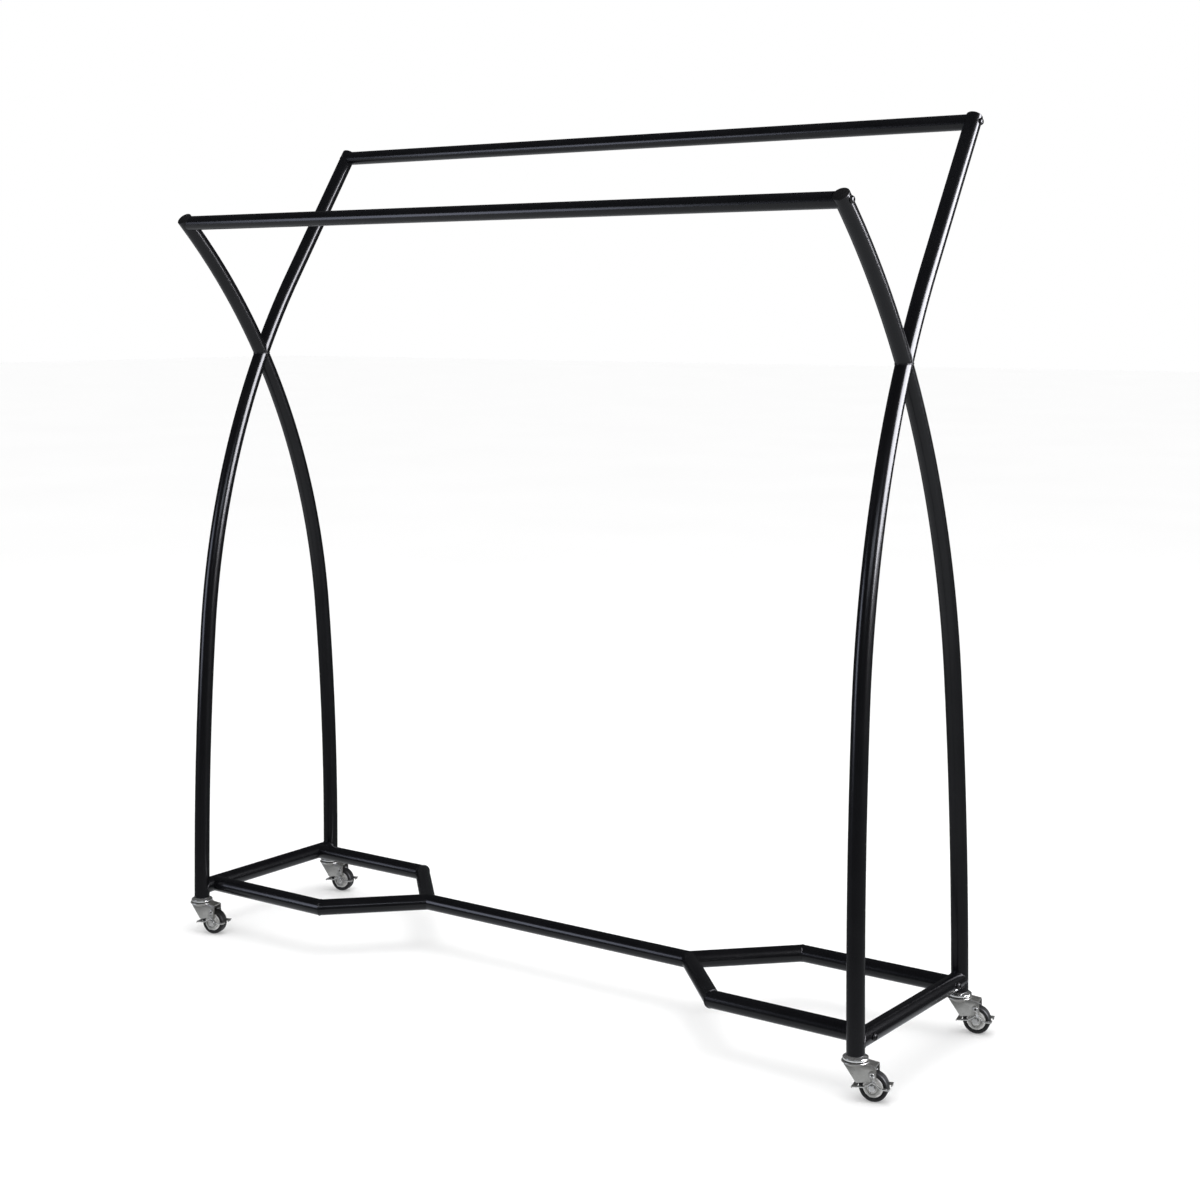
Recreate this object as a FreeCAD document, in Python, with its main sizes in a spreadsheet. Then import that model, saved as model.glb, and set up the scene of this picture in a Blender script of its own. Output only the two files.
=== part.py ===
import FreeCAD, Part
import math
import os

import Sketcher

# Rolling clothes rack: two crossed-leg side frames, two hanging rails, a bolted base and four
# braked swivel casters.  Millimetres, +Z up, +X along the rails, -Y towards the lower front rail.
# While the pieces are built, X = 0 is midway between the side frames, Y = 0 is the centre bar of
# the base and Z = 0 is the floor.  At the end everything moves so that the origin is the centre
# of the footprint, on the floor.

Vector = FreeCAD.Vector
Rotation = FreeCAD.Rotation
Placement = FreeCAD.Placement
X_AXIS = Vector(1, 0, 0)
Y_AXIS = Vector(0, 1, 0)
Z_AXIS = Vector(0, 0, 1)

DRIVING_SIZES = {
    # side frames
    "frame_spacing": 1580.0,        # between the planes of the two side frames
    "leg_diameter": 31.8,
    "tube_wall": 1.5,
    "leg_bottom_height": 75.0,      # underside of the leg tubes above the floor
    "front_foot": 198.0,            # front leg bottoms in front of the centre bar
    "rear_foot": 199.5,             # rear leg bottoms behind the centre bar
    "main_straight": 86.0,
    "main_soft_radius": 6630.0,
    "main_soft_angle": 4.2,
    "main_tight_radius": 1597.0,
    "main_tight_angle": 28.95,
    "second_straight": 36.0,
    "second_soft_radius": 5240.0,
    "second_soft_angle": 6.0,
    "second_tight_radius": 1405.0,
    "tip_overhang": 12.0,           # leg tube beyond the rail's axis
    "weld_gap": 0.1,                # root gap between a coped end and the tube it meets
    # rails
    "rail_diameter": 30.0,
    "front_rail_height": 1512.0,
    "rear_rail_height": 1679.0,
    # base
    "base_height": 94.7,
    "base_side_offset": 160.8,
    "base_bend": 479.3,
    "base_apex": 324.4,
    # screws and plugs
    "bolt_diameter": 8.0,
    "bolt_hole": 8.4,
    "bolt_length": 42.0,
    "bolt_head_diameter": 14.0,
    "bolt_head_height": 4.4,
    "bolt_socket_size": 5.0,
    "bolt_socket_depth": 2.6,
    "plug_length": 12.0,
    "plug_clearance": 0.05,
    "cap_skirt": 6.0,
    "cap_dome": 5.0,
    "insert_length": 24.0,
    "insert_flange": 1.5,
    # casters: heights are above the floor, reaches are along the trail from the swivel axis
    "trail_angle": 14.0,            # trail direction, turned from +X towards +Y
    "trail": 32.0,
    "wheel_diameter": 50.0,
    "tyre_width": 20.0,
    "core_diameter": 35.2,
    "hub_diameter": 18.0,
    "hub_length": 22.6,
    "bush_diameter": 10.0,
    "bush_length": 23.4,
    "axle_diameter": 6.0,
    "axle_head_size": 10.0,
    "axle_head_height": 4.0,
    "axle_nut_height": 5.0,
    "axle_tip": 0.6,                # how far the axle screw stands out of its nut
    "running_fit": 0.05,
    "fork_inside": 23.6,
    "fork_plate": 2.0,
    "fork_nose_reach": -20.3,       # where the front edge meets the crown
    "fork_corner_reach": 3.8,       # lowest point of the front edge
    "fork_corner_height": 30.3,
    "fork_belly_reach": 18.0,
    "fork_belly_height": 32.8,
    "fork_tongue": 6.8,             # half width of the tongue that carries the axle
    "fork_tongue_drop": 8.0,
    "fork_tail": 6.5,               # rear edge behind the axle
    "fork_tail_height": 61.5,
    "fork_roof_reach": 20.0,        # where the roof starts to slope
    "crown_diameter": 48.5,
    "crown_top": 64.4,
    "crown_thickness": 3.0,
    "crown_edge": 2.2,
    "crown_round": 0.8,
    "crown_depth": 8.5,
    "race_diameter": 44.0,
    "race_bottom": 66.2,
    "race_top": 73.5,
    "race_edge": 0.8,
    "race_band": 3.8,               # height of the race's upright rim
    "race_cone": 5.2,               # how far its upper cone draws in
    "stem_diameter": 10.0,
    "stem_top": 104.0,
    "stem_head_diameter": 16.0,
    "stem_head_height": 3.0,
    "ball_diameter": 4.0,
    "ball_circle": 28.0,
    "ball_count": 12.0,
    "groove_diameter": 4.2,
    "pivot_height": 47.0,
    "pivot_shank": 6.4,
    "pivot_bore": 4.4,
    "pivot_head": 9.0,
    "pivot_head_height": 0.8,
    "pivot_play": 0.1,              # room between the lever and the outer rivet head
    "lever_plate": 1.5,
    "lever_gap": 0.3,
    "lever_lip": 4.0,
    "lever_lip_plate": 1.6,
    "lever_band": 4.0,              # height of the lever's arms
    "lever_ear": 6.0,
    "lever_window": 17.6,
    "lever_toe": -4.6,
    "lever_toe_height": 25.5,
    "lever_toe_depth": 10.0,
    "lever_toe_root": 6.0,          # the upper edge of its arms, as reach and height
    "lever_toe_top": 26.6,
    "lever_rise": 18.4,
    "lever_rise_height": 27.8,
    "lever_shoulder": 25.5,
    "lever_shoulder_height": 31.8,
    "lever_apex_height": 37.0,
    "lever_fall": 39.6,
    "lever_fall_height": 33.8,
    "lever_heel": 47.5,
    "lever_heel_height": 27.5,
    "lever_ear_drop": 2.0,          # how much lower the ear meets the arm behind the pivot
    "lever_boss": 14.5,             # the plate round the axle: half width and drop
    "lever_boss_flat": 4.8,         # half width of its flat lower edge
    "shoe_gap": 2.6,
    "shoe_plate": 1.6,
    "shoe_height": 28.0,
    "shoe_window": 12.0,            # open middle between the two turned-in shoes
    # wheel
    "web_thickness": 11.0,
    "rim_width": 16.4,
    "rim_wall": 2.9,
    "draft": 0.5,                   # mould draft of the hub and rim walls
    "tread_width": 12.0,
    "shoulder": 2.6,
}

doc = FreeCAD.newDocument("rolling_clothes_rack")
sheet = doc.addObject("Spreadsheet::Sheet", "dim")
sub_parts = []


def fill_sheet():
    """Write every driving size into the sheet: name, value and alias."""
    for row, (alias, value) in enumerate(DRIVING_SIZES.items(), start=1):
        sheet.set("A%d" % row, alias)
        sheet.set("B%d" % row, str(value))
        sheet.setAlias("B%d" % row, alias)
    doc.recompute()


def size(alias):
    return float(sheet.get(alias))


# ---------------------------------------------------------------- modelling helpers

def keep(item, label):
    """Mark an object as one finished sub-part, named after its node."""
    item.Label = label
    sub_parts.append(item)
    return item


def new_body(name):
    return doc.addObject("PartDesign::Body", name)


def new_sketch(body, role, lift="0"):
    """A sketch on one of the body's own origin planes, lifted along that plane's normal."""
    sketch = body.newObject("Sketcher::SketchObject", body.Name + "_sketch")
    plane = next(item for item in body.Origin.OriginFeatures if item.Role == role)
    sketch.AttachmentSupport = [(plane, "")]
    sketch.MapMode = "FlatFace"
    sketch.setExpression("AttachmentOffset.Base.z", lift)
    return sketch


def hold(sketch, kind, geometry, point, expression):
    """Hold one coordinate of a sketch point at the value of an expression."""
    spot = sketch.getPoint(geometry, point)
    now = spot.x if kind == "DistanceX" else spot.y
    index = sketch.addConstraint(Sketcher.Constraint(kind, geometry, point, now))
    sketch.setExpression("Constraints[%d]" % index, expression)


def outline(sketch, corners):
    """A closed polygon; each corner is a pair of expressions."""
    count = len(corners)
    rough = [Vector(index, index * index, 0) for index in range(count)]
    lines = []
    for index in range(count):
        segment = Part.LineSegment(rough[index], rough[(index + 1) % count])
        lines.append(sketch.addGeometry(segment, False))
    for index in range(count):
        following = lines[(index + 1) % count]
        sketch.addConstraint(Sketcher.Constraint("Coincident", lines[index], 2, following, 1))
    for line, (across, up) in zip(lines, corners):
        hold(sketch, "DistanceX", line, 1, across)
        hold(sketch, "DistanceY", line, 1, up)


def circle(sketch, diameter, across="0", up="0"):
    ring = Part.Circle(Vector(0, 0, 0), Z_AXIS, 1.0)
    index = sketch.addGeometry(ring, False)
    hold(sketch, "DistanceX", index, 3, across)
    hold(sketch, "DistanceY", index, 3, up)
    constraint = sketch.addConstraint(Sketcher.Constraint("Diameter", index, 2.0))
    sketch.setExpression("Constraints[%d]" % constraint, diameter)


def hexagon(sketch, width):
    """A regular hexagon about the sketch origin; width is its size across the flats."""
    corners = []
    for index in range(6):
        turn = 60 * index
        corners.append(("%s / sqrt(3) * cos(%d deg)" % (width, turn),
                        "%s / sqrt(3) * sin(%d deg)" % (width, turn)))
    outline(sketch, corners)


def pad(body, sketch, length, symmetric=False, reverse=False):
    feature = body.newObject("PartDesign::Pad", body.Name + "_pad")
    feature.Profile = sketch
    feature.setExpression("Length", length)
    feature.SideType = "Symmetric" if symmetric else "One side"
    feature.Reversed = reverse
    return feature


def pocket(body, sketch, length=None, symmetric=False, reverse=False):
    """Cut a sketch out of the body: to a depth, or right through both ways."""
    feature = body.newObject("PartDesign::Pocket", body.Name + "_pocket")
    feature.Profile = sketch
    feature.Reversed = reverse
    if length is None:
        feature.Type = "ThroughAll"
        feature.SideType = "Symmetric"
    else:
        feature.setExpression("Length", length)
        feature.SideType = "Symmetric" if symmetric else "One side"
    return feature


def turn_about(body, sketch, kind="PartDesign::Revolution"):
    """Revolve a sketch once about its own vertical axis."""
    feature = body.newObject(kind, body.Name + "_turn")
    feature.Profile = sketch
    feature.ReferenceAxis = (sketch, ["V_Axis"])
    feature.Angle = 360.0
    return feature


def rod(name, diameter, length, centre, direction):
    """A plain cylinder, centred on a point, used as a tool for copes and holes."""
    item = doc.addObject("Part::Cylinder", name)
    item.setExpression("Radius", "(%s) / 2" % diameter)
    item.setExpression("Height", length)
    doc.recompute()
    start = centre - direction * (item.Height.Value / 2)
    item.Placement = Placement(start, Rotation(Z_AXIS, direction))
    return item


def cut(base, tools, label):
    """Base minus every tool, kept as one sub-part."""
    bundle = doc.addObject("Part::Compound", label + "_tools")
    bundle.Links = tools
    result = doc.addObject("Part::Cut", label)
    result.Base = base
    result.Tool = bundle
    return keep(result, label)


def group(items, label):
    """Identical loose pieces, kept as one sub-part of separate solids."""
    bundle = doc.addObject("Part::Compound", label)
    bundle.Links = items
    return keep(bundle, label)


# ---------------------------------------------------------------- the bend of a leg

def walk(runs, side):
    """Follow straight and curved runs upwards from (0, 0) in the YZ plane.

    A run is (None, length) or (radius, angle in degrees).  side is +1 to bend towards +Y.
    Returns, for each run, its start, end and arc centre, then the final heading.
    """
    spot = Vector(0, 0, 0)
    heading = 0.0
    steps = []
    for radius, amount in runs:
        if radius is None:
            end = spot + Vector(side * math.sin(heading), math.cos(heading), 0) * amount
            steps.append((spot, end, None))
        else:
            inwards = Vector(side * math.cos(heading), -math.sin(heading), 0)
            centre = spot + inwards * radius
            heading += math.radians(amount)
            outwards = Vector(-side * math.cos(heading), math.sin(heading), 0)
            end = centre + outwards * radius
            steps.append((spot, end, centre))
        spot = end
    return steps, heading


def spine_sketch(body, runs, side):
    """The leg's axis: lines and arcs, each tangent to the one before it."""
    sketch = new_sketch(body, "YZ_Plane")
    steps, heading = walk(runs, side)
    before = None
    for (radius, amount), (start, end, centre) in zip(runs, steps):
        if radius is None:
            item = sketch.addGeometry(Part.LineSegment(start, end), False)
            low, high = 1, 2
            sketch.addConstraint(Sketcher.Constraint("Distance", item, amount))
        else:
            full = Part.Circle(centre, Z_AXIS, radius)
            ends = [math.atan2(end.y - centre.y, end.x - centre.x),
                    math.atan2(start.y - centre.y, start.x - centre.x)]
            item = sketch.addGeometry(Part.ArcOfCircle(full, min(ends), max(ends)), False)
            low, high = (2, 1) if side > 0 else (1, 2)
            sketch.addConstraint(Sketcher.Constraint("Radius", item, radius))
            sketch.addConstraint(Sketcher.Constraint("Angle", item, math.radians(amount)))
        if before is None:
            sketch.addConstraint(Sketcher.Constraint("Coincident", item, low, -1, 1))
            if radius is None:
                sketch.addConstraint(Sketcher.Constraint("Vertical", item))
            else:
                sketch.addConstraint(Sketcher.Constraint("PointOnObject", item, 3, -1))
        else:
            sketch.addConstraint(Sketcher.Constraint("Tangent", before[0], before[1], item, low))
        before = (item, high)
    return sketch


def bent_tube(name, runs, side, outer, inner=None):
    """A round tube, or a solid rod, swept along runs that start upwards from the origin."""
    body = new_body(name)
    spine = spine_sketch(body, runs, side)
    profile = new_sketch(body, "XY_Plane")
    circle(profile, outer)
    if inner:
        circle(profile, inner)
    sweep = body.newObject("PartDesign::AdditivePipe", name + "_sweep")
    sweep.Profile = profile
    sweep.Spine = (spine, [])
    return body


def height_runs(runs, side, height):
    """The same runs, cut off or lengthened so that the axis ends at a height."""
    steps, heading = walk(runs[:-1], side)
    start = steps[-1][1]
    radius = runs[-1][0]
    rise = height - start.y
    if radius is None:
        return runs[:-1] + [(None, rise / math.cos(heading))]
    reach = math.sin(heading) + rise / radius
    return runs[:-1] + [(radius, math.degrees(math.asin(reach) - heading))]


def axis_point(runs, side, foot, height):
    """Where the axis of a leg stands at a height: its Y, and its heading from vertical."""
    steps, heading = walk(height_runs(runs, side, height), side)
    return foot + steps[-1][1].x, heading


def main_runs(last=1.0):
    return [(None, size("main_straight")),
            (size("main_soft_radius"), size("main_soft_angle")),
            (size("main_tight_radius"), size("main_tight_angle")),
            (None, last)]


def second_runs():
    return [(None, size("second_straight")),
            (size("second_soft_radius"), size("second_soft_angle")),
            (size("second_tight_radius"), 1.0)]


def crossing():
    """Height above the leg bottoms, Y and second-leg heading where the two axes cross."""
    low, high = size("front_foot"), size("front_rail_height") - size("leg_bottom_height")
    main = main_runs()[:-1]
    for _ in range(60):
        middle = (low + high) / 2
        main_y, _heading = axis_point(main, 1, -size("front_foot"), middle)
        second_y, heading = axis_point(second_runs(), -1, size("rear_foot"), middle)
        low, high = (middle, high) if main_y < second_y else (low, middle)
    return middle, second_y, heading


# ---------------------------------------------------------------- side frames

LEG_INNER = "dim.leg_diameter - 2 * dim.tube_wall"
RAIL_INNER = "dim.rail_diameter - 2 * dim.tube_wall"
LEG_COPE = "dim.leg_diameter + 2 * dim.weld_gap"


def rail_place(front):
    """Y and height of a rail's axis, and the leg's heading there, from its leg."""
    floor_to_leg = size("leg_bottom_height")
    if front:
        height = size("front_rail_height")
        across, heading = axis_point(second_runs(), -1, size("rear_foot"), height - floor_to_leg)
        return across, height, -heading
    height = size("rear_rail_height")
    across, heading = axis_point(main_runs(), 1, -size("front_foot"), height - floor_to_leg)
    return across, height, heading


def along_leg(heading):
    return Vector(0, math.sin(heading), math.cos(heading))


def side_frame(side, x):
    """The crossed legs and the cross tube of one side frame."""
    bottom = size("leg_bottom_height")
    overhang = size("tip_overhang")
    rear_y, rear_z, rear_heading = rail_place(False)
    front_y, front_z, front_heading = rail_place(True)
    cross_height, cross_y, cross_heading = crossing()

    tip = rear_z - bottom + overhang * math.cos(rear_heading)
    runs = height_runs(main_runs(), 1, tip)
    main = bent_tube(side + "_main_tube", runs, 1, "dim.leg_diameter", LEG_INNER)
    main.Placement = Placement(Vector(x, -size("front_foot"), bottom), Rotation())
    cope = bent_tube(side + "_main_cope", runs, 1, LEG_COPE)
    cope.Placement = main.Placement
    hole = rod(side + "_rear_rail_hole", "dim.bolt_hole", "3 * dim.leg_diameter",
               Vector(x, rear_y, rear_z), X_AXIS)
    cut(main, [hole], side + "_main_leg")

    runs = height_runs(second_runs(), -1, cross_height)
    lower = bent_tube(side + "_lower_tube", runs, -1, "dim.leg_diameter", LEG_INNER)
    lower.Placement = Placement(Vector(x, size("rear_foot"), bottom), Rotation())
    cut(lower, [cope], side + "_rear_lower_leg")

    spread = math.degrees(-front_heading - cross_heading)
    overrun = math.degrees(overhang / size("second_tight_radius"))
    runs = [(size("second_tight_radius"), spread + overrun)]
    upper = bent_tube(side + "_upper_tube", runs, -1, "dim.leg_diameter", LEG_INNER)
    upper.Placement = Placement(Vector(x, cross_y, bottom + cross_height),
                                Rotation(X_AXIS, math.degrees(cross_heading)))
    hole = rod(side + "_front_rail_hole", "dim.bolt_hole", "3 * dim.leg_diameter",
               Vector(x, front_y, front_z), X_AXIS)
    cut(upper, [cope, hole], side + "_front_upper_leg")
    cross_tube(side, x)


def straight_tube(name, outer, inner, start, end):
    """A round tube from one point to another."""
    body = new_body(name)
    profile = new_sketch(body, "XY_Plane")
    circle(profile, outer)
    circle(profile, inner)
    pad(body, profile, "%f" % start.distanceToPoint(end))
    body.Placement = Placement(start, Rotation(Z_AXIS, end - start))
    return body


def cross_tube(side, x):
    """The front-to-back tube near the leg bottoms, coped to both legs and drilled twice."""
    height = size("base_height")
    front, rear = -size("front_foot"), size("rear_foot")
    tube = straight_tube(side + "_cross_blank", "dim.leg_diameter", LEG_INNER,
                         Vector(x, front, height), Vector(x, rear, height))
    tools = [rod(side + "_cross_cope", LEG_COPE, "3 * dim.leg_diameter",
                 Vector(x, y, height), Z_AXIS) for y in (front, rear)]
    for y in (-size("base_side_offset"), size("base_side_offset")):
        tools.append(rod(side + "_cross_hole", "dim.bolt_hole", "3 * dim.leg_diameter",
                         Vector(x, y, height), X_AXIS))
    cut(tube, tools, side + "_cross_tube")


def rails():
    """The two hanging rails, coped at both ends to the leg tips."""
    half = size("frame_spacing") / 2
    for label, front in (("front_rail", True), ("rear_rail", False)):
        y, z, heading = rail_place(front)
        tube = straight_tube(label + "_blank", "dim.rail_diameter", RAIL_INNER,
                             Vector(-half, y, z), Vector(half, y, z))
        copes = [rod(label + "_cope", LEG_COPE, "3 * dim.leg_diameter",
                     Vector(x, y, z), along_leg(heading)) for x in (-half, half)]
        cut(tube, copes, label)


# ---------------------------------------------------------------- base

def slab(name, spot, direction):
    """A large block whose one face stands on a plan line, filling the line's left side."""
    block = doc.addObject("Part::Box", name)
    for edge in ("Length", "Width", "Height"):
        block.setExpression(edge, "5 * dim.leg_diameter")
    reach = 2.5 * size("leg_diameter")
    start = spot - direction * reach - Z_AXIS * reach
    block.Placement = Placement(start, Rotation(X_AXIS, direction))
    return block


def plan(degrees):
    """A level unit vector at an angle from +X."""
    return Vector(math.cos(math.radians(degrees)), math.sin(math.radians(degrees)), 0)


def mirrored(vector, x_sign, y_sign):
    return Vector(vector.x * x_sign, vector.y * y_sign, vector.z)


def mitre(name, spot, degrees, x_sign, y_sign):
    """A slab for the rear-right pattern of a mitre, mirrored into one corner of the base."""
    direction = mirrored(plan(degrees), x_sign, y_sign)
    if x_sign * y_sign < 0:
        direction = direction * -1
    return slab(name, mirrored(spot, x_sign, y_sign), direction)


def base_corner(end, x_sign, row, y_sign):
    """One diagonal and one side tube, mitred to each other; drawn for +X and +Y."""
    height = size("base_height")
    apex = Vector(size("base_apex"), 0, height)
    bend = Vector(size("base_bend"), size("base_side_offset"), height)
    outer_end = Vector(size("frame_spacing") / 2, bend.y, height)
    slope = math.degrees(math.atan2(bend.y - apex.y, bend.x - apex.x))
    joint = 90 + slope / 2
    stretch = plan(slope) * size("leg_diameter")

    name = "base_diagonal_%s_%s" % (row, end)
    start = mirrored(apex - stretch, x_sign, y_sign)
    finish = mirrored(bend + stretch, x_sign, y_sign)
    tube = straight_tube(name + "_blank", "dim.leg_diameter", LEG_INNER, start, finish)
    tools = [mitre(name + "_centre_cut", apex, 180, x_sign, y_sign),
             mitre(name + "_bar_cut", apex, joint, x_sign, y_sign),
             mitre(name + "_bend_cut", bend, joint + 180, x_sign, y_sign)]
    cut(tube, tools, name)

    name = "base_side_%s_%s" % (row, end)
    start = mirrored(bend - X_AXIS * size("leg_diameter"), x_sign, y_sign)
    finish = mirrored(outer_end, x_sign, y_sign)
    tube = straight_tube(name + "_blank", "dim.leg_diameter", LEG_INNER, start, finish)
    tools = [mitre(name + "_bend_cut", bend, joint, x_sign, y_sign),
             rod(name + "_cope", LEG_COPE, "3 * dim.leg_diameter", finish, Y_AXIS)]
    cut(tube, tools, name)


def base_frame():
    """The centre bar, and the four corners that branch from its ends."""
    height = size("base_height")
    apex = size("base_apex")
    stretch = size("leg_diameter")
    tube = straight_tube("base_center_blank", "dim.leg_diameter", LEG_INNER,
                         Vector(-apex - stretch, 0, height), Vector(apex + stretch, 0, height))
    slope = math.degrees(math.atan2(size("base_side_offset"), size("base_bend") - apex))
    tools = []
    for x_sign in (-1, 1):
        for y_sign in (-1, 1):
            spot = Vector(apex, 0, height)
            tools.append(mitre("base_center_cut", spot, 270 + slope / 2, x_sign, y_sign))
    cut(tube, tools, "base_center_bar")
    for end, x_sign in (("left", -1), ("right", 1)):
        for row, y_sign in (("front", -1), ("rear", 1)):
            base_corner(end, x_sign, row, y_sign)


# ---------------------------------------------------------------- screws, plugs and caps

def bolt(name, spot, outwards):
    """A button-head screw: its head's underside is at the spot, its shank runs inwards."""
    body = new_body(name)
    head = new_sketch(body, "XY_Plane")
    circle(head, "dim.bolt_head_diameter")
    pad(body, head, "dim.bolt_head_height")
    shank = new_sketch(body, "XY_Plane")
    circle(shank, "dim.bolt_diameter")
    pad(body, shank, "dim.bolt_length", reverse=True)
    socket = new_sketch(body, "XY_Plane", "dim.bolt_head_height")
    hexagon(socket, "dim.bolt_socket_size")
    pocket(body, socket, "dim.bolt_socket_depth")
    body.Placement = Placement(spot, Rotation(Z_AXIS, outwards))
    return body


def end_plug(name, diameter, spot, outwards):
    """A round threaded plug inside a tube's end; its outer face is at the spot."""
    body = new_body(name)
    profile = new_sketch(body, "XY_Plane")
    circle(profile, "%s - 2 * dim.plug_clearance" % diameter)
    circle(profile, "dim.bolt_diameter + 2 * dim.plug_clearance")
    pad(body, profile, "dim.plug_length", reverse=True)
    body.Placement = Placement(spot, Rotation(Z_AXIS, outwards))
    return body


def fasteners():
    """The screws through the legs and cross tubes, and the threaded plugs they enter."""
    half = size("frame_spacing") / 2
    radius = size("leg_diameter") / 2
    rows = {"rail": [], "base": []}
    for front in (True, False):
        y, z, _heading = rail_place(front)
        rows["rail"].append((y, z))
    for y in (-size("base_side_offset"), size("base_side_offset")):
        rows["base"].append((y, size("base_height")))
    for row, inner in (("rail", RAIL_INNER), ("base", LEG_INNER)):
        bolts = []
        plugs = []
        for x_sign in (-1, 1):
            outwards = X_AXIS * x_sign
            for y, z in rows[row]:
                head = Vector(x_sign * (half + radius), y, z)
                bolts.append(bolt(row + "_bolt", head, outwards))
                face = Vector(x_sign * (half - radius - size("weld_gap") * 2), y, z)
                plugs.append(end_plug(row + "_plug", inner, face, outwards))
        group(bolts, row + "_bolts")
        group(plugs, row + "_end_plugs")


def dome_cap(name, spot, heading):
    """A domed cap pushed into a leg's tip, its rim level with the end of the tube."""
    body = new_body(name)
    profile = new_sketch(body, "XZ_Plane")
    radius, dome = size("leg_diameter") / 2, size("cap_dome")
    skirt = size("cap_skirt")
    inside = radius - size("tube_wall") - size("plug_clearance")
    points = [Vector(0, dome, 0), Vector(0, -skirt, 0), Vector(inside, -skirt, 0),
              Vector(inside, 0, 0), Vector(radius, 0, 0)]
    expressions = [("0", "dim.cap_dome"), ("0", "0 - dim.cap_skirt"),
                   ("dim.leg_diameter / 2 - dim.tube_wall - dim.plug_clearance",
                    "0 - dim.cap_skirt"),
                   ("dim.leg_diameter / 2 - dim.tube_wall - dim.plug_clearance", "0"),
                   ("dim.leg_diameter / 2", "0")]
    lines = []
    for start, end in zip(points, points[1:]):
        lines.append(profile.addGeometry(Part.LineSegment(start, end), False))
    curve = (radius ** 2 + dome ** 2) / (2 * dome)
    full = Part.Circle(Vector(0, dome - curve, 0), Z_AXIS, curve)
    rim = math.atan2(curve - dome, radius)
    arc = profile.addGeometry(Part.ArcOfCircle(full, rim, math.pi / 2), False)
    for first, second in zip(lines, lines[1:]):
        profile.addConstraint(Sketcher.Constraint("Coincident", first, 2, second, 1))
    profile.addConstraint(Sketcher.Constraint("Coincident", lines[-1], 2, arc, 1))
    profile.addConstraint(Sketcher.Constraint("Coincident", arc, 2, lines[0], 1))
    profile.addConstraint(Sketcher.Constraint("PointOnObject", arc, 3, -2))
    for line, (across, up) in zip(lines, expressions):
        hold(profile, "DistanceX", line, 1, across)
        hold(profile, "DistanceY", line, 1, up)
    hold(profile, "DistanceX", lines[-1], 2, expressions[-1][0])
    hold(profile, "DistanceY", lines[-1], 2, expressions[-1][1])
    turn_about(body, profile)
    body.Placement = Placement(spot, Rotation(Z_AXIS, along_leg(heading)))
    return body


def leg_caps():
    caps = []
    for front in (True, False):
        y, z, heading = rail_place(front)
        overrun = size("tip_overhang")
        bend = overrun / size("second_tight_radius") if front else 0.0
        middle = along_leg(heading - bend / 2)
        end = Vector(0, y, z) + middle * overrun
        for x_sign in (-1, 1):
            spot = Vector(x_sign * size("frame_spacing") / 2, end.y, end.z)
            caps.append(dome_cap("leg_tip_cap", spot, heading - bend))
    group(caps, "leg_tip_caps")


# ---------------------------------------------------------------- casters

def caster_place(foot):
    """A caster's own frame: X along the trail, Z up the swivel axis, origin on the floor."""
    return Placement(foot, Rotation(Z_AXIS, size("trail_angle")))


def place_in_caster(body, frame, along=0.0, up=0.0, turn=None):
    """Put a body at a reach and height in the caster's frame, turned to lie across it."""
    body.Placement = frame.multiply(Placement(Vector(along, 0, up), turn or Rotation()))


ACROSS = Rotation(X_AXIS, 90)       # a piece's own Z axis along the axle, towards the front


def leg_insert(foot):
    """The threaded insert in a leg's bottom end, with a thin flange under the tube."""
    body = new_body("caster_insert")
    plug = new_sketch(body, "XY_Plane", "dim.leg_bottom_height")
    circle(plug, LEG_INNER + " - 2 * dim.plug_clearance")
    circle(plug, "dim.stem_diameter + 2 * dim.plug_clearance")
    pad(body, plug, "dim.insert_length")
    flange = new_sketch(body, "XY_Plane", "dim.leg_bottom_height")
    circle(flange, "dim.leg_diameter")
    circle(flange, "dim.stem_diameter + 2 * dim.plug_clearance")
    pad(body, flange, "dim.insert_flange", reverse=True)
    place_in_caster(body, caster_place(foot))
    return body


def race_ring(foot):
    """The fixed upper race: an upright rim under a cone, with a ball groove underneath."""
    body = new_body("caster_race")
    profile = new_sketch(body, "XZ_Plane")
    bore = "dim.stem_diameter / 2 + dim.plug_clearance"
    rim = "dim.race_diameter / 2"
    outline(profile, [(bore, "dim.race_bottom"), (rim + " - dim.race_edge", "dim.race_bottom"),
                      (rim, "dim.race_bottom + dim.race_edge"),
                      (rim, "dim.race_bottom + dim.race_band"),
                      (rim + " - dim.race_cone", "dim.race_top"), (bore, "dim.race_top")])
    turn_about(body, profile)
    ball_groove(body)
    place_in_caster(body, caster_place(foot))
    return body


def ball_groove(body):
    """Cut the ball track, halfway between the race and the crown."""
    groove = new_sketch(body, "XZ_Plane")
    circle(groove, "dim.groove_diameter", "dim.ball_circle / 2",
           "(dim.race_bottom + dim.crown_top) / 2")
    turn_about(body, groove, "PartDesign::Groove")


def stem(foot):
    """The swivel stem: a head under the crown, and a shank up into the leg's insert."""
    body = new_body("caster_stem")
    shank = new_sketch(body, "XY_Plane", "dim.crown_top - dim.crown_thickness - dim.lever_gap")
    circle(shank, "dim.stem_diameter")
    pad(body, shank, "dim.stem_top - dim.crown_top + dim.crown_thickness + dim.lever_gap")
    head = new_sketch(body, "XY_Plane", "dim.crown_top - dim.crown_thickness - dim.lever_gap")
    circle(head, "dim.stem_head_diameter")
    pad(body, head, "dim.stem_head_height", reverse=True)
    place_in_caster(body, caster_place(foot))
    return body


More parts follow.
